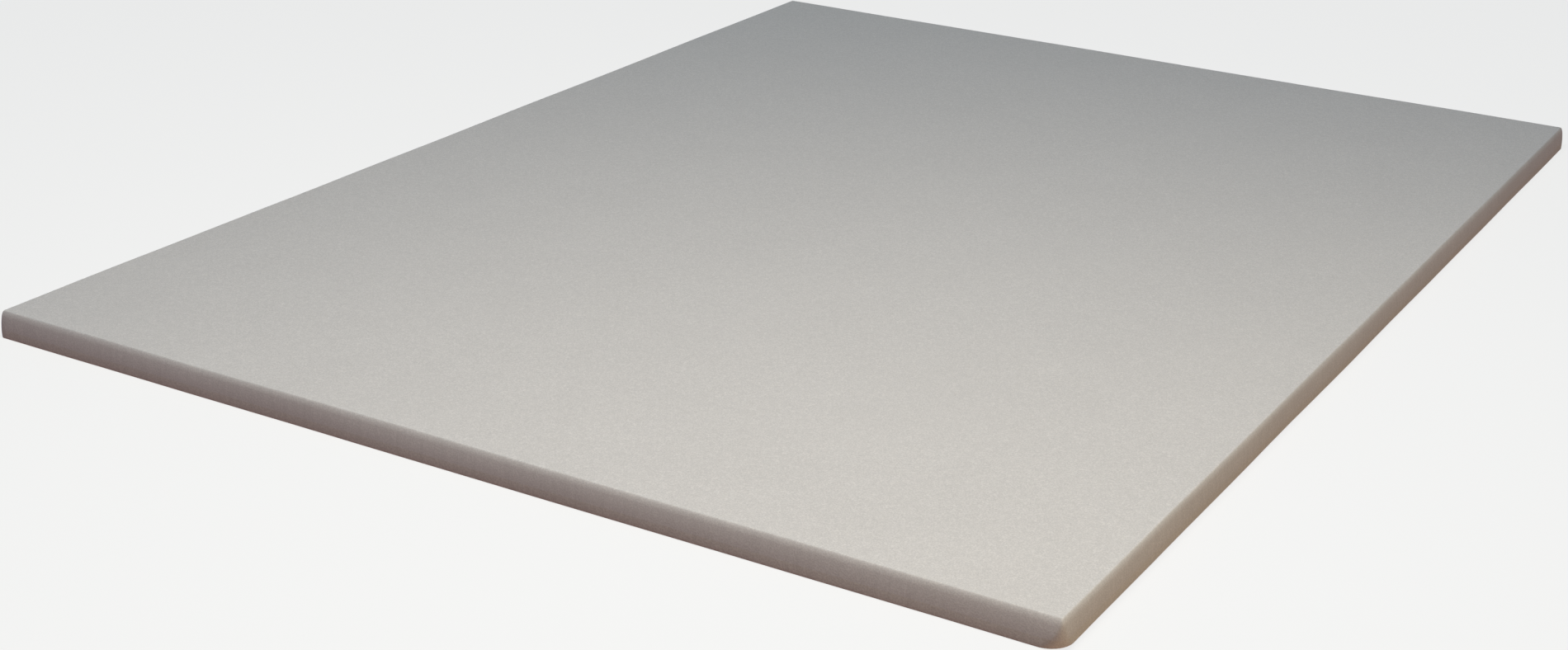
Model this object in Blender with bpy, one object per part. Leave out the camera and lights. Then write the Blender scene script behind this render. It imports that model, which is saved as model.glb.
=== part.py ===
"""Thin queen-size memory foam mattress, modelled as its separate pieces.

Metres, +Z up. The origin is the centre of the underside. +X runs across the width and +Y along the length.
From the bottom up, the mattress is a firm support foam, a thin film of lamination glue and a memory foam.
Every side of a foam is knife-cut, the four upright corners are rounded, and the outer rims are softened.
"""

import bmesh
import bpy
from mathutils import Matrix

# Overall sizes
WIDTH = 1.524
LENGTH = 2.032

# The layers, from the bottom up
BASE_FOAM_THICKNESS = 0.0120
GLUE_THICKNESS = 0.0004
MEMORY_FOAM_THICKNESS = 0.0250

# Radii of the cut foam
CORNER_RADIUS = 0.0080
TOP_RIM_RADIUS = 0.0050
BOTTOM_RIM_RADIUS = 0.0030

# The glue film stops this far inside the sides, so that no glue reaches a cut face
GLUE_SETBACK = 0.0060

# Clearance between two faces that touch
GAP = 0.0003

# Segments of a rounded upright corner and of a softened rim
CORNER_SEGMENTS = 8
RIM_SEGMENTS = 4

# Where each layer starts
GLUE_BOTTOM = BASE_FOAM_THICKNESS + GAP
MEMORY_FOAM_BOTTOM = GLUE_BOTTOM + GLUE_THICKNESS + GAP


def clear_scene():
    for obj in list(bpy.data.objects):
        bpy.data.objects.remove(obj, do_unlink=True)


def material(name, colour, roughness):
    """A Principled material of one colour, which is given as linear red, green and blue."""
    made = bpy.data.materials.new(name)
    made.use_nodes = True
    shader = made.node_tree.nodes["Principled BSDF"]
    shader.inputs["Base Color"].default_value = (*colour, 1.0)
    shader.inputs["Roughness"].default_value = roughness
    shader.inputs["Metallic"].default_value = 0.0
    made.diffuse_color = (*colour, 1.0)
    return made


def is_upright(edge):
    return abs(edge.verts[0].co.z - edge.verts[1].co.z) > 1e-6


def round_corners(bm, radius):
    """Rounds the four upright edges."""
    bmesh.ops.bevel(
        bm,
        geom=[edge for edge in bm.edges if is_upright(edge)],
        offset=radius,
        offset_type="OFFSET",
        affect="EDGES",
        segments=CORNER_SEGMENTS,
        profile=0.5,
        material=-1,
    )


def soften_rim(bm, height, radius):
    """Rounds the rim that runs all the way round the slab at the given height."""
    rim = [edge for edge in bm.edges if all(abs(vert.co.z - height) < 1e-6 for vert in edge.verts)]
    bmesh.ops.bevel(
        bm,
        geom=rim,
        offset=radius,
        offset_type="OFFSET",
        affect="EDGES",
        segments=RIM_SEGMENTS,
        profile=0.5,
        material=-1,
    )


def slab(name, width, length, thickness, corner_radius, top_rim, bottom_rim, mat):
    """A flat slab with its underside at its own zero height. A rim of radius 0 stays square."""
    bm = bmesh.new()
    bmesh.ops.create_cube(bm, size=1.0)
    bmesh.ops.translate(bm, verts=bm.verts, vec=(0.0, 0.0, 0.5))
    bmesh.ops.transform(bm, verts=bm.verts, matrix=Matrix.Diagonal((width, length, thickness, 1.0)))
    round_corners(bm, corner_radius)
    if top_rim > 0.0:
        soften_rim(bm, thickness, top_rim)
    if bottom_rim > 0.0:
        soften_rim(bm, 0.0, bottom_rim)
    mesh = bpy.data.meshes.new(name)
    bm.to_mesh(mesh)
    bm.free()
    mesh.materials.append(mat)
    mesh.shade_smooth()
    mesh.set_sharp_from_angle(angle=0.6)
    obj = bpy.data.objects.new(name, mesh)
    bpy.context.scene.collection.objects.link(obj)
    return obj


def make_base_foam(parent):
    """The firm support foam that the mattress lies on."""
    foam = slab(
        "base_foam_layer",
        WIDTH,
        LENGTH,
        BASE_FOAM_THICKNESS,
        CORNER_RADIUS,
        0.0,
        BOTTOM_RIM_RADIUS,
        material("base_foam", (0.56, 0.53, 0.49), 0.95),
    )
    foam.parent = parent


def make_glue(parent):
    """The glue film, which follows the foams' outline at the setback."""
    glue = slab(
        "lamination_glue",
        WIDTH - 2.0 * GLUE_SETBACK,
        LENGTH - 2.0 * GLUE_SETBACK,
        GLUE_THICKNESS,
        CORNER_RADIUS - GLUE_SETBACK,
        0.0,
        0.0,
        material("lamination_glue", (0.72, 0.68, 0.55), 0.45),
    )
    glue.parent = parent
    glue.location.z = GLUE_BOTTOM


def make_memory_foam(parent):
    """The slow-recovery foam that is slept on."""
    foam = slab(
        "memory_foam_layer",
        WIDTH,
        LENGTH,
        MEMORY_FOAM_THICKNESS,
        CORNER_RADIUS,
        TOP_RIM_RADIUS,
        0.0,
        material("memory_foam", (0.62, 0.60, 0.57), 0.95),
    )
    foam.parent = parent
    foam.location.z = MEMORY_FOAM_BOTTOM


def main():
    clear_scene()
    mattress = bpy.data.objects.new("mattress", None)
    bpy.context.scene.collection.objects.link(mattress)
    make_base_foam(mattress)
    make_glue(mattress)
    make_memory_foam(mattress)


main()
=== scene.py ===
"""Looks for a thin, queen-size memory foam mattress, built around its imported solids.

Laid out as an add-on: the settings can be changed in the 3D view's sidebar, and each operator makes one
piece. Lengths are metres. The row frame has +X across the width, +Y along the length and +Z up.
"""

import math

import bmesh
import bpy
from bpy.props import FloatProperty, FloatVectorProperty, PointerProperty, StringProperty
from mathutils import Matrix, Vector, noise


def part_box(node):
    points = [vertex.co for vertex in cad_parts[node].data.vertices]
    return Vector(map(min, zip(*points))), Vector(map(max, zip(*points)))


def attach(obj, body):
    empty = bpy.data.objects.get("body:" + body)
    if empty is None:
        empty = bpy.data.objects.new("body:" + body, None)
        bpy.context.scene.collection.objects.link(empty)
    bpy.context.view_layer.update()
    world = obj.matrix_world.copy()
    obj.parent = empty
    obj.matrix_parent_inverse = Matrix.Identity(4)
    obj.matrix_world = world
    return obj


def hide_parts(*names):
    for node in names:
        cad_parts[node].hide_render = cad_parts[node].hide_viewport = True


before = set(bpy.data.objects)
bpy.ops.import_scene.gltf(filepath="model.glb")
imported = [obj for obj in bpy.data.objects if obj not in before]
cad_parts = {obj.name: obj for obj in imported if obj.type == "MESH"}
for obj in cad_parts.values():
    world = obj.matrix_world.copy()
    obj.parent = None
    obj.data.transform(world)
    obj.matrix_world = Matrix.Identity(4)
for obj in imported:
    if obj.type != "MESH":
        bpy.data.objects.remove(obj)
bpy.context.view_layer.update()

bl_info = {
    "name": "Memory foam mattress",
    "version": (1, 0, 0),
    "blender": (4, 5, 0),
    "location": "3D View > Sidebar > Mattress",
    "description": "Cut foam layers, their glue and a plain studio for a thin memory foam mattress",
    "category": "Object",
}

MM = 0.001
BODY = "root"

# The places of the layers, from their solids
GLUE_LOW, GLUE_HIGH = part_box("lamination_glue")
MEMORY_LOW, MEMORY_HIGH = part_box("memory_foam_layer")
WIDTH = MEMORY_HIGH.x - MEMORY_LOW.x
LENGTH = MEMORY_HIGH.y - MEMORY_LOW.y
TOP = MEMORY_HIGH.z
# The two foams meet round the glue's edge, half way up the film
JOINT = (GLUE_LOW.z + GLUE_HIGH.z) / 2.0
GLUE_SETBACK = MEMORY_HIGH.x - GLUE_HIGH.x
# The corner that was pressed out of square: at +X and -Y
PRESSED_CORNER = (1.0, -1.0)


# ---------------------------------------------------------------- settings


class MattressShape(bpy.types.PropertyGroup):
    """Sizes of the cut foam."""

    edge_drop: FloatProperty(
        name="Soft edge, down the side",
        description="How far down the side the soft upper edge reaches",
        default=8.5 * MM,
        unit="LENGTH",
    )
    edge_reach: FloatProperty(
        name="Soft edge, across the top",
        description="How far in from the side the soft upper edge reaches",
        default=2.2 * MM,
        unit="LENGTH",
    )
    bottom_rim: FloatProperty(
        name="Bottom rim radius",
        description="Radius of the broken edge round the underside",
        default=1.2 * MM,
        unit="LENGTH",
    )
    widest: FloatProperty(
        name="Widest height",
        description="Height at which the barrelled sides stand out the most",
        default=9.0 * MM,
        unit="LENGTH",
    )
    lean: FloatProperty(
        name="Lean",
        description="How far the sides draw in from their widest height up to the top",
        default=3.7 * MM,
        unit="LENGTH",
    )
    undercut: FloatProperty(
        name="Undercut",
        description="How far the sides draw in from their widest height down to the floor",
        default=0.5 * MM,
        unit="LENGTH",
    )
    corner: FloatProperty(
        name="Corner radius",
        description="Radius of an upright corner, seen from above",
        default=6.0 * MM,
        unit="LENGTH",
    )
    pressed_corner: FloatProperty(
        name="Pressed corner radius",
        description="Radius at the floor of the corner whose foot was pressed round",
        default=30.0 * MM,
        unit="LENGTH",
    )
    wave: FloatProperty(
        name="Waviness",
        description="How far the cut faces stray from flat and straight",
        default=0.9 * MM,
        unit="LENGTH",
    )
    wave_length: FloatProperty(
        name="Wave length",
        description="Distance over which the cut faces stray",
        default=240.0 * MM,
        unit="LENGTH",
    )
    chatter: FloatProperty(
        name="Blade chatter",
        description="How far the blade that trimmed the sides left them from smooth",
        default=0.12 * MM,
        unit="LENGTH",
    )
    chatter_length: FloatProperty(
        name="Chatter length",
        description="Distance along a side over which the blade strayed",
        default=45.0 * MM,
        unit="LENGTH",
    )
    cell: FloatProperty(
        name="Mesh cell",
        description="Side of a cell of the mesh across the top",
        default=12.7 * MM,
        unit="LENGTH",
    )


class MattressFinish(bpy.types.PropertyGroup):
    """Colours of the foams and of the glue."""

    memory_colour: StringProperty(
        name="Memory foam",
        description="Colour of the memory foam, as sRGB hex",
        default="D8D4D1",
    )
    # The base foam is a little warmer than the memory foam: partly the colour of a different foam, partly
    # painted warm light from a floor below on the lower sides
    base_colour: StringProperty(
        name="Base foam",
        description="Colour of the base foam, as sRGB hex",
        default="D7D2CB",
    )
    glue_colour: StringProperty(
        name="Glue",
        description="Colour of the dried glue, as sRGB hex",
        default="DDD8C4",
    )


class MattressStudio(bpy.types.PropertyGroup):
    """The floor, the lights and the camera."""

    floor_colour: StringProperty(
        name="Floor",
        description="Colour of the floor, as sRGB hex",
        default="F4F4F3",
    )
    key_power: FloatProperty(
        name="Key light",
        description="Power of the wide soft light above the near side",
        default=57.9,
        unit="POWER",
    )
    fill_power: FloatProperty(
        name="Fill light",
        description="Power of the warm light above the near corner",
        default=18.0,
        unit="POWER",
    )
    back_power: FloatProperty(
        name="Back light",
        description="Power of the low light behind the far corner",
        default=43.0,
        unit="POWER",
    )
    sky_colour: FloatVectorProperty(
        name="Light from above",
        description="Cool light that the room gives from above",
        default=(0.103, 0.148, 0.205),
        subtype="COLOR",
        size=3,
    )
    ground_colour: FloatVectorProperty(
        name="Light from below",
        description="Warm light that a wooden floor gives back",
        default=(0.244, 0.115, 0.082),
        subtype="COLOR",
        size=3,
    )
    lens: FloatProperty(
        name="Focal length",
        description="Focal length of the camera, in millimetres",
        default=53.76,
        unit="CAMERA",
    )


# ---------------------------------------------------------------- colours and nodes


def linear(hex_colour):
    """An sRGB hex colour as linear red, green, blue and alpha."""
    shares = [int(hex_colour[at : at + 2], 16) / 255.0 for at in (0, 2, 4)]
    return [s / 12.92 if s <= 0.04045 else ((s + 0.055) / 1.055) ** 2.4 for s in shares] + [1.0]


def shaded(colour, share):
    """A linear colour made darker or lighter by a share."""
    return [channel * share for channel in colour[:3]] + [1.0]


def add_node(tree, kind, settings=None, values=None, links=None):
    """Adds a node with its settings, its sockets' values and the links into it.

    A socket goes by its name, or by its number where several share a name.
    """
    node = tree.nodes.new(kind)
    for name, value in (settings or {}).items():
        setattr(node, name, value)
    for name, value in (values or {}).items():
        node.inputs[name].default_value = value
    for name, source in (links or {}).items():
        tree.links.new(source, node.inputs[name])
    return node


def new_material(name):
    made = bpy.data.materials.new(name)
    made.use_nodes = True
    made.node_tree.nodes.clear()
    return made, made.node_tree


# A cell of memory foam is about 0.4 mm across, and one of base foam about 0.6 mm. Both are too fine to
# show, so they are drawn about four times as coarse, as shallow pits.
MEMORY_CELL = 1.8 * MM
BASE_CELL = 2.2 * MM
MEMORY_CELL_DEPTH = 0.20 * MM
BASE_CELL_DEPTH = 0.26 * MM
PIT_STRENGTH = 0.45
# Painted shade at the middle of a pit and a painted highlight on the rim between two pits, as shares of
# the foam's own colour
PIT_SHADE_AND_RIM_HIGHLIGHT = (0.87, 1.09)
# How far the rim is from the middle of a pit, as a share of the cell
RIM_DISTANCE = 0.9
# The patches of slightly darker and lighter foam that a poured block shows
CLOUD = 120.0 * MM
CLOUD_SHADES = (0.975, 1.025)
# The distance between the upright marks of a trimming blade, and how long one is
BLADE_STEP = 6.0 * MM
BLADE_RUN = 90.0 * MM
BLADE_SHADES = (0.97, 1.03)
# Nearly all of a noise pattern lies between these two values
NOISE_SPAN = (0.3, 0.7)
# A foam of cut cells has next to no gloss
FOAM_ROUGHNESS = 0.95
FOAM_SPECULAR = 0.2
POLYURETHANE_IOR = 1.45


def foam_material(name, hex_colour, cell, cell_depth):
    """Open-cell polyurethane foam, cut with a blade.

    The cut cells scatter light evenly with no gloss, and leave a fine grain of tiny shadows. A poured
    block is faintly clouded, and the trimming blade leaves faint upright marks down the sides, whose
    pattern is a faint mottle on the flat faces.
    """
    made, tree = new_material(name)
    place = add_node(tree, "ShaderNodeTexCoord").outputs["Object"]
    colour = linear(hex_colour)

    clouds = add_node(
        tree,
        "ShaderNodeTexNoise",
        values={"Scale": 1.0 / CLOUD, "Detail": 3.0, "Roughness": 0.55},
        links={"Vector": place},
    )
    grain = add_node(
        tree,
        "ShaderNodeTexVoronoi",
        settings={"feature": "F1"},
        values={"Scale": 1.0 / cell, "Randomness": 1.0},
        links={"Vector": place},
    )
    stretched = add_node(
        tree,
        "ShaderNodeMapping",
        values={"Scale": (1.0 / BLADE_STEP, 1.0 / BLADE_STEP, 1.0 / BLADE_RUN)},
        links={"Vector": place},
    )
    marks = add_node(
        tree,
        "ShaderNodeTexNoise",
        values={"Scale": 1.0, "Detail": 2.0, "Roughness": 0.5},
        links={"Vector": stretched.outputs["Vector"]},
    )

    clouded = add_node(
        tree,
        "ShaderNodeMix",
        settings={"data_type": "RGBA"},
        values={"A": shaded(colour, CLOUD_SHADES[0]), "B": shaded(colour, CLOUD_SHADES[1])},
        links={"Factor": clouds.outputs["Fac"]},
    )
    # Painted shade in each pit and a painted highlight on its rim, following the pits' bump
    painted_pit_shade = add_node(
        tree,
        "ShaderNodeMapRange",
        values={"From Max": RIM_DISTANCE, "To Min": PIT_SHADE_AND_RIM_HIGHLIGHT[0], "To Max": PIT_SHADE_AND_RIM_HIGHLIGHT[1]},
        links={"Value": grain.outputs["Distance"]},
    )
    blade = add_node(
        tree,
        "ShaderNodeMapRange",
        values={
            "From Min": NOISE_SPAN[0],
            "From Max": NOISE_SPAN[1],
            "To Min": BLADE_SHADES[0],
            "To Max": BLADE_SHADES[1],
        },
        links={"Value": marks.outputs["Fac"]},
    )
    pit_shade_and_blade_marks = add_node(
        tree,
        "ShaderNodeMath",
        settings={"operation": "MULTIPLY"},
        links={0: painted_pit_shade.outputs["Result"], 1: blade.outputs["Result"]},
    )
    tint = add_node(
        tree,
        "ShaderNodeVectorMath",
        settings={"operation": "SCALE"},
        links={"Vector": clouded.outputs["Result"], "Scale": pit_shade_and_blade_marks.outputs["Value"]},
    )

    pits = add_node(
        tree,
        "ShaderNodeBump",
        values={"Strength": PIT_STRENGTH, "Distance": cell_depth},
        links={"Height": grain.outputs["Distance"]},
    )
    shader = add_node(
        tree,
        "ShaderNodeBsdfPrincipled",
        values={
            "Roughness": FOAM_ROUGHNESS,
            "IOR": POLYURETHANE_IOR,
            "Specular IOR Level": FOAM_SPECULAR,
        },
        links={"Base Color": tint.outputs["Vector"], "Normal": pits.outputs["Normal"]},
    )
    add_node(tree, "ShaderNodeOutputMaterial", links={"Surface": shader.outputs["BSDF"]})
    return made


# The stipple that a coating roller leaves in the glue
STIPPLE = 5.0 * MM
STIPPLE_DEPTH = 0.1 * MM
STIPPLE_STRENGTH = 0.6
# Painted shade in the stipple's hollows and a painted highlight on its tops, as shares of the glue's
# colour
STIPPLE_SHADE_AND_HIGHLIGHT = (0.93, 1.04)
# A dried film of glue is satin, and unevenly so
GLUE_ROUGHNESS = (0.35, 0.55)
GLUE_IOR = 1.48


def glue_material(hex_colour):
    """Water-based polymer glue, put on with a roller and dried: a satin film with a fine stipple."""
    made, tree = new_material("rolled_water_based_glue")
    place = add_node(tree, "ShaderNodeTexCoord").outputs["Object"]
    colour = linear(hex_colour)
    stipple = add_node(
        tree,
        "ShaderNodeTexNoise",
        values={"Scale": 1.0 / STIPPLE, "Detail": 2.0, "Roughness": 0.5},
        links={"Vector": place},
    )
    # The glue's colour with painted shade in the stipple's hollows and a painted highlight on its tops
    film = add_node(
        tree,
        "ShaderNodeMix",
        settings={"data_type": "RGBA"},
        values={"A": shaded(colour, STIPPLE_SHADE_AND_HIGHLIGHT[0]), "B": shaded(colour, STIPPLE_SHADE_AND_HIGHLIGHT[1])},
        links={"Factor": stipple.outputs["Fac"]},
    )
    gloss = add_node(
        tree,
        "ShaderNodeMapRange",
        values={
            "From Min": NOISE_SPAN[0],
            "From Max": NOISE_SPAN[1],
            "To Min": GLUE_ROUGHNESS[0],
            "To Max": GLUE_ROUGHNESS[1],
        },
        links={"Value": stipple.outputs["Fac"]},
    )
    relief = add_node(
        tree,
        "ShaderNodeBump",
        values={"Strength": STIPPLE_STRENGTH, "Distance": STIPPLE_DEPTH},
        links={"Height": stipple.outputs["Fac"]},
    )
    shader = add_node(
        tree,
        "ShaderNodeBsdfPrincipled",
        values={"IOR": GLUE_IOR},
        links={
            "Base Color": film.outputs["Result"],
            "Roughness": gloss.outputs["Result"],
            "Normal": relief.outputs["Normal"],
        },
    )
    add_node(tree, "ShaderNodeOutputMaterial", links={"Surface": shader.outputs["BSDF"]})
    return made


# ---------------------------------------------------------------- cut foam

# Points along a corner's arc, seen from above
CORNER_POINTS = 10
SMALLEST_RADIUS = 1.5 * MM
# Steps up the sides of the base foam and of the memory foam, round the soft edge and round the rim
SIDE_STEPS_LOW = 4
SIDE_STEPS_HIGH = 5
EDGE_STEPS = 10
RIM_STEPS = 4
# A point this close to a cut counts as being on it
ON_CUT = 0.001 * MM
# The shallow pocket that holds the glue slopes shut over this distance, outside the glue's edge
POCKET_SLOPE = 1.0 * MM
# The flat ring next to a rim, which keeps the rim's shading off the wide faces
FLAT_RING = 1.5 * MM
# Two faces that meet at more than this stay crisp
CRISP_ANGLE = math.radians(40.0)
# The power by which a side's waviness dies away towards the middle
SIDE_HOLD = 12
# How far the waviness shifts from the foot of a side to its top, in wave lengths
WAVE_SHIFT = 0.6
# How fast the chatter changes up a side, as a share of how fast it changes along it
CHATTER_UPRIGHT = 0.3
# The top strays this share of how far the sides do
TOP_WAVE_SHARE = 0.7
# Each move reads its own stretch of the noise, so that no two are alike
WAVE_ACROSS = Vector((7.0, 0.0, 0.0))
WAVE_ALONG = Vector((0.0, 13.0, 0.0))
WAVE_UP = Vector((3.0, 5.0, 0.0))
CHATTER_ACROSS = Vector((3.0, 0.0, 0.0))
CHATTER_ALONG = Vector((0.0, 5.0, 0.0))


def inset_at(shape, height):
    """How far a barrelled side has drawn in at a height."""
    if height > shape.widest:
        return shape.lean * ((height - shape.widest) / (TOP - shape.widest)) ** 2
    return shape.undercut * ((shape.widest - height) / shape.widest) ** 2


def side_profile(shape, low, high, steps):
    """(height, inset) up the side, from low to high."""
    heights = [low + (high - low) * step / steps for step in range(steps + 1)]
    return [(height, inset_at(shape, height)) for height in heights]


def soft_edge_profile(shape):
    """(height, inset) of the quarter ellipse that turns the side into the top, after its start."""
    turned = []
    for step in range(1, EDGE_STEPS + 1):
        angle = math.pi / 2.0 * step / EDGE_STEPS
        height = TOP - shape.edge_drop * (1.0 - math.sin(angle))
        turned.append((height, inset_at(shape, height) + shape.edge_reach * (1.0 - math.cos(angle))))
    return turned


def bottom_rim_profile(shape):
    """(height, inset) of the broken edge round the underside, from the floor up to the side."""
    turned = []
    for step in range(RIM_STEPS + 1):
        angle = math.pi / 2.0 * step / RIM_STEPS
        height = shape.bottom_rim * (1.0 - math.cos(angle))
        turned.append((height, inset_at(shape, height) + shape.bottom_rim * (1.0 - math.sin(angle))))
    return turned


def corner_radius(shape, corner, height, inset):
    """The radius of a corner at a height and an inset. The pressed corner is rounder towards its foot."""
    radius = shape.corner
    if corner == PRESSED_CORNER:
        radius += (shape.pressed_corner - shape.corner) * (1.0 - height / TOP) ** 2
    return max(radius - inset, SMALLEST_RADIUS)


def outline_at(shape, height, inset):
    """The centre of each corner's arc and its radius, at a height and an inset."""
    outline = {}
    for side_x in (-1.0, 1.0):
        for side_y in (-1.0, 1.0):
            corner = (side_x, side_y)
            radius = corner_radius(shape, corner, height, inset)
            centre_x = side_x * (WIDTH / 2.0 - inset - radius)
            centre_y = side_y * (LENGTH / 2.0 - inset - radius)
            outline[corner] = (centre_x, centre_y, radius)
    return outline


def move_outline(verts, before, after, height):
    """Moves a ring from one outline to another and to a height."""
    for vert in verts:
        corner = (math.copysign(1.0, vert.co.x), math.copysign(1.0, vert.co.y))
        old_x, old_y, old_radius = before[corner]
        new_x, new_y, new_radius = after[corner]
        grown = new_radius / old_radius
        vert.co = (new_x + (vert.co.x - old_x) * grown, new_y + (vert.co.y - old_y) * grown, height)


def loft(bm, shape, profile):
    """Walls up through the outlines of a profile, closed by a face at each end."""
    points = 4 * CORNER_POINTS
    half_step = math.pi / points
    bmesh.ops.create_circle(
        bm,
        cap_ends=False,
        segments=points,
        radius=1.0 / math.cos(half_step),
        matrix=Matrix.Rotation(half_step, 4, "Z"),
    )
    verts = bm.verts[:]
    ring = bm.edges[:]
    ends = [ring]
    before = {(side_x, side_y): (0.0, 0.0, 1.0) for side_x in (-1.0, 1.0) for side_y in (-1.0, 1.0)}
    for step, (height, inset) in enumerate(profile):
        if step > 0:
            made = bmesh.ops.extrude_edge_only(bm, edges=ring)["geom"]
            verts = [item for item in made if isinstance(item, bmesh.types.BMVert)]
            edges = [item for item in made if isinstance(item, bmesh.types.BMEdge)]
            ring = [edge for edge in edges if edge.verts[0] in verts and edge.verts[1] in verts]
        after = outline_at(shape, height, inset)
        move_outline(verts, before, after, height)
        before = after
    ends.append(ring)
    for end in ends:
        bmesh.ops.contextual_create(bm, geom=end)


def cut_cells(bm, cell):
    """Cuts the solid into cells across the width and the length, so that its faces can stray."""
    for axis, size in ((0, WIDTH), (1, LENGTH)):
        count = round(size / cell)
        normal = Vector((0.0, 0.0, 0.0))
        normal[axis] = 1.0
        for step in range(1, count):
            place = Vector((0.0, 0.0, 0.0))
            place[axis] = size * (step / count - 0.5)
            bmesh.ops.bisect_plane(
                bm,
                geom=bm.verts[:] + bm.edges[:] + bm.faces[:],
                dist=ON_CUT,
                plane_co=place,
                plane_no=normal,
            )


def stray(bm, shape):
    """Moves the cut faces a little off flat and straight, with the underside left flat on the floor."""
    for vert in bm.verts:
        share = vert.co.z / TOP
        flat = Vector((vert.co.x, vert.co.y, 0.0)) / shape.wave_length
        slow = flat + Vector((0.0, 0.0, share * WAVE_SHIFT))
        quick = Vector((vert.co.x, vert.co.y, CHATTER_UPRIGHT * vert.co.z)) / shape.chatter_length
        near_side = min(abs(vert.co.x) / (WIDTH / 2.0), 1.0) ** SIDE_HOLD
        near_end = min(abs(vert.co.y) / (LENGTH / 2.0), 1.0) ** SIDE_HOLD
        across = shape.wave * noise.noise(slow + WAVE_ACROSS)
        across += shape.chatter * noise.noise(quick + CHATTER_ACROSS)
        along = shape.wave * noise.noise(slow + WAVE_ALONG)
        along += shape.chatter * noise.noise(quick + CHATTER_ALONG)
        vert.co.x += across * near_side
        vert.co.y += along * near_end
        vert.co.z += TOP_WAVE_SHARE * shape.wave * noise.noise(flat + WAVE_UP) * share**2


def foam_piece(name, shape, profile, material, node):
    """A foam layer as its own piece, standing for its solid."""
    bm = bmesh.new()
    loft(bm, shape, profile)
    cut_cells(bm, shape.cell)
    stray(bm, shape)
    bmesh.ops.recalc_face_normals(bm, faces=bm.faces)
    mesh = bpy.data.meshes.new(name)
    bm.to_mesh(mesh)
    bm.free()
    mesh.shade_smooth()
    mesh.set_sharp_from_angle(angle=CRISP_ANGLE)
    mesh.materials.append(material)
    piece = bpy.data.objects.new(name, mesh)
    bpy.context.scene.collection.objects.link(piece)
    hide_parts(node)
    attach(piece, BODY)


# ---------------------------------------------------------------- stage

SENSOR_WIDTH = 36.0
CAMERA_PLACE = (1.5584, -2.9403, 1.1817)
CAMERA_TURN = (68.077, -1.132, 30.865)
FLOOR_RADIUS = 40.0
FLOOR_SIDES = 64
# Part of the floor's light is its own, so that it stays pale and even while the lights are dim
FLOOR_GLOW = 0.85
FLOOR_ALBEDO_SHARE = 0.20
BACKDROP = (0.9, 0.9, 0.9, 1.0)
# How far above and below the horizon the light from the two turns into each other
HORIZON = 0.05
# What the two low lights leave out, so that they draw no bright patches beside themselves
SPARED = "floor_for_low_lights"
# name, place, aim, side, colour
KEY_LIGHT = ("key", (0.461, -1.282, 2.764), (0.881, -1.068, 0.0), 1.2, (1.0, 0.949, 0.857))
FILL_LIGHT = ("fill", (3.031, -1.54, 0.8), (0.2, -0.4, 0.0), 1.0, (1.0, 0.823, 0.472))
BACK_LIGHT = ("back", (-3.135, 3.953, 1.3), (-0.2, 0.4, 0.0), 2.2, (0.965, 1.0, 0.890))


def make_camera(lens):
    data = bpy.data.cameras.new("camera")
    data.lens = lens
    data.sensor_width = SENSOR_WIDTH
    data.clip_end = 2.0 * FLOOR_RADIUS
    camera = bpy.data.objects.new("camera", data)
    camera.location = CAMERA_PLACE
    camera.rotation_euler = [math.radians(angle) for angle in CAMERA_TURN]
    bpy.context.scene.collection.objects.link(camera)
    bpy.context.scene.camera = camera


def make_floor(hex_colour):
    """A wide pale floor. The foam doesn't pick up its light, as the light from below stands for that."""
    bm = bmesh.new()
    bmesh.ops.create_circle(bm, cap_ends=True, segments=FLOOR_SIDES, radius=FLOOR_RADIUS)
    mesh = bpy.data.meshes.new("floor")
    bm.to_mesh(mesh)
    bm.free()
    made, tree = new_material("pale_matt_floor")
    colour = linear(hex_colour)
    shader = add_node(
        tree,
        "ShaderNodeBsdfPrincipled",
        values={
            "Base Color": shaded(colour, FLOOR_ALBEDO_SHARE),
            "Roughness": 1.0,
            "Specular IOR Level": 0.0,
            "Emission Color": colour,
            "Emission Strength": FLOOR_GLOW,
        },
    )
    add_node(tree, "ShaderNodeOutputMaterial", links={"Surface": shader.outputs["BSDF"]})
    mesh.materials.append(made)
    floor = bpy.data.objects.new("floor", mesh)
    floor.visible_diffuse = False
    bpy.context.scene.collection.objects.link(floor)
    spared = bpy.data.collections.new(SPARED)
    spared.objects.link(floor)
    spared.collection_objects[0].light_linking.link_state = "EXCLUDE"


def make_light(light, power, spares_floor):
    """A square soft light at its place, turned to its aim. It may leave the floor unlit."""
    name, place, aim, side, colour = light
    data = bpy.data.lights.new(name, "AREA")
    data.shape = "SQUARE"
    data.size = side
    data.energy = power
    data.color = colour
    lamp = bpy.data.objects.new(name, data)
    lamp.location = place
    lamp.rotation_euler = (Vector(aim) - lamp.location).to_track_quat("-Z", "Y").to_euler()
    lamp.visible_camera = False
    if spares_floor:
        lamp.light_linking.receiver_collection = bpy.data.collections[SPARED]
    bpy.context.scene.collection.objects.link(lamp)


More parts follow.
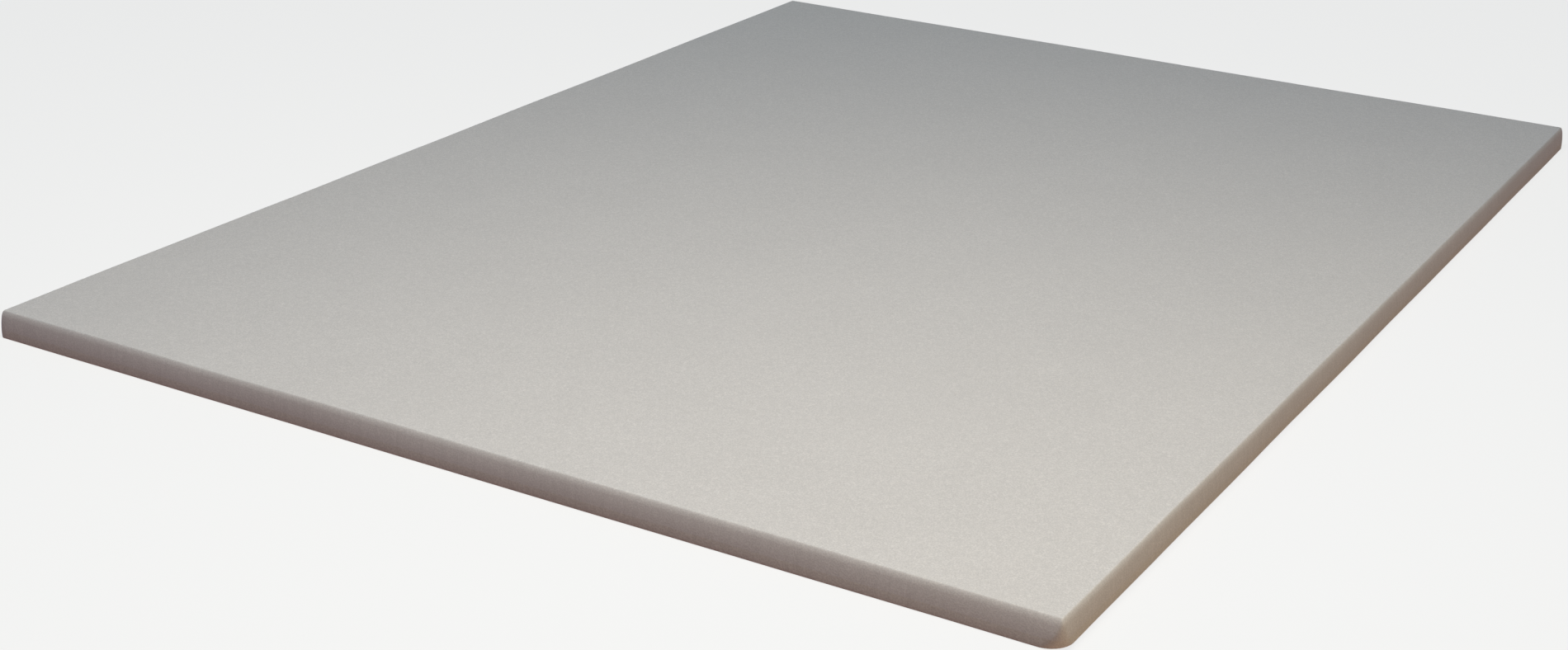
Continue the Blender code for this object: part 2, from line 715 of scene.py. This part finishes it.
def make_world(sky, ground):
    """Cool light from above and warm light from below, and a pale backdrop for the camera."""
    world = bpy.data.worlds.new("studio")
    world.use_nodes = True
    tree = world.node_tree
    tree.nodes.clear()
    direction = add_node(tree, "ShaderNodeTexCoord").outputs["Generated"]
    parts = add_node(tree, "ShaderNodeSeparateXYZ", links={"Vector": direction})
    above = add_node(
        tree,
        "ShaderNodeMapRange",
        values={"From Min": -HORIZON, "From Max": HORIZON},
        links={"Value": parts.outputs["Z"]},
    )
    colour = add_node(
        tree,
        "ShaderNodeMix",
        settings={"data_type": "RGBA"},
        values={"A": [*ground, 1.0], "B": [*sky, 1.0]},
        links={"Factor": above.outputs["Result"]},
    )
    light = add_node(tree, "ShaderNodeBackground", links={"Color": colour.outputs["Result"]})
    seen = add_node(tree, "ShaderNodeBackground", values={"Color": BACKDROP})
    path = add_node(tree, "ShaderNodeLightPath")
    both = add_node(
        tree,
        "ShaderNodeMixShader",
        links={
            "Fac": path.outputs["Is Camera Ray"],
            1: light.outputs["Background"],
            2: seen.outputs["Background"],
        },
    )
    add_node(tree, "ShaderNodeOutputWorld", links={"Surface": both.outputs["Shader"]})
    bpy.context.scene.world = world


# ---------------------------------------------------------------- operators


class MATTRESS_OT_memory_foam(bpy.types.Operator):
    """Makes the memory foam, from the joint with the base foam up to the sleeping surface."""

    bl_idname = "mattress.memory_foam"
    bl_label = "Memory foam"

    def execute(self, context):
        shape = context.scene.mattress_shape
        finish = context.scene.mattress_finish
        pocket = [(GLUE_HIGH.z, GLUE_SETBACK), (JOINT, GLUE_SETBACK - POCKET_SLOPE)]
        sides = side_profile(shape, JOINT, TOP - shape.edge_drop, SIDE_STEPS_HIGH)
        edge = soft_edge_profile(shape)
        flat = [(TOP, edge[-1][1] + FLAT_RING)]
        material = foam_material(
            "blade_cut_viscoelastic_foam",
            finish.memory_colour,
            MEMORY_CELL,
            MEMORY_CELL_DEPTH,
        )
        profile = pocket + sides + edge + flat
        foam_piece("memory_foam", shape, profile, material, "memory_foam_layer")
        return {"FINISHED"}


class MATTRESS_OT_base_foam(bpy.types.Operator):
    """Makes the base foam, from the floor up to the joint with the memory foam."""

    bl_idname = "mattress.base_foam"
    bl_label = "Base foam"

    def execute(self, context):
        shape = context.scene.mattress_shape
        finish = context.scene.mattress_finish
        rim = bottom_rim_profile(shape)
        flat = [(0.0, rim[0][1] + FLAT_RING)]
        sides = side_profile(shape, shape.bottom_rim, JOINT, SIDE_STEPS_LOW)[1:]
        pocket = [(JOINT, GLUE_SETBACK - POCKET_SLOPE), (GLUE_LOW.z, GLUE_SETBACK)]
        material = foam_material(
            "blade_cut_polyurethane_foam",
            finish.base_colour,
            BASE_CELL,
            BASE_CELL_DEPTH,
        )
        profile = flat + rim + sides + pocket
        foam_piece("base_foam", shape, profile, material, "base_foam_layer")
        return {"FINISHED"}


class MATTRESS_OT_glue(bpy.types.Operator):
    """Gives the glue film its finish."""

    bl_idname = "mattress.glue"
    bl_label = "Glue"

    def execute(self, context):
        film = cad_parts["lamination_glue"]
        film.data.materials.clear()
        film.data.materials.append(glue_material(context.scene.mattress_finish.glue_colour))
        return {"FINISHED"}


class MATTRESS_OT_stage(bpy.types.Operator):
    """Makes the camera, the floor and the soft lights."""

    bl_idname = "mattress.stage"
    bl_label = "Stage"

    def execute(self, context):
        studio = context.scene.mattress_studio
        context.scene.view_settings.view_transform = "Standard"
        make_camera(studio.lens)
        make_floor(studio.floor_colour)
        make_light(KEY_LIGHT, studio.key_power, spares_floor=False)
        make_light(FILL_LIGHT, studio.fill_power, spares_floor=True)
        make_light(BACK_LIGHT, studio.back_power, spares_floor=True)
        make_world(studio.sky_colour, studio.ground_colour)
        return {"FINISHED"}


OPERATORS = (
    MATTRESS_OT_memory_foam,
    MATTRESS_OT_base_foam,
    MATTRESS_OT_glue,
    MATTRESS_OT_stage,
)
SETTINGS = {
    "mattress_shape": MattressShape,
    "mattress_finish": MattressFinish,
    "mattress_studio": MattressStudio,
}


class MATTRESS_PT_panel(bpy.types.Panel):
    """The settings and the operators, in the 3D view's sidebar."""

    bl_idname = "MATTRESS_PT_panel"
    bl_label = "Memory foam mattress"
    bl_space_type = "VIEW_3D"
    bl_region_type = "UI"
    bl_category = "Mattress"

    def draw(self, context):
        for name, group in SETTINGS.items():
            box = self.layout.box()
            for field in group.__annotations__:
                box.prop(getattr(context.scene, name), field)
        for operator in OPERATORS:
            self.layout.operator(operator.bl_idname)


CLASSES = (*SETTINGS.values(), *OPERATORS, MATTRESS_PT_panel)


def register():
    for cls in CLASSES:
        bpy.utils.register_class(cls)
    for name, group in SETTINGS.items():
        setattr(bpy.types.Scene, name, PointerProperty(type=group))


def unregister():
    for name in SETTINGS:
        delattr(bpy.types.Scene, name)
    for cls in reversed(CLASSES):
        bpy.utils.unregister_class(cls)


def main():
    register()
    bpy.ops.mattress.stage()
    bpy.ops.mattress.memory_foam()
    bpy.ops.mattress.base_foam()
    bpy.ops.mattress.glue()


if __name__ == "__main__":
    main()
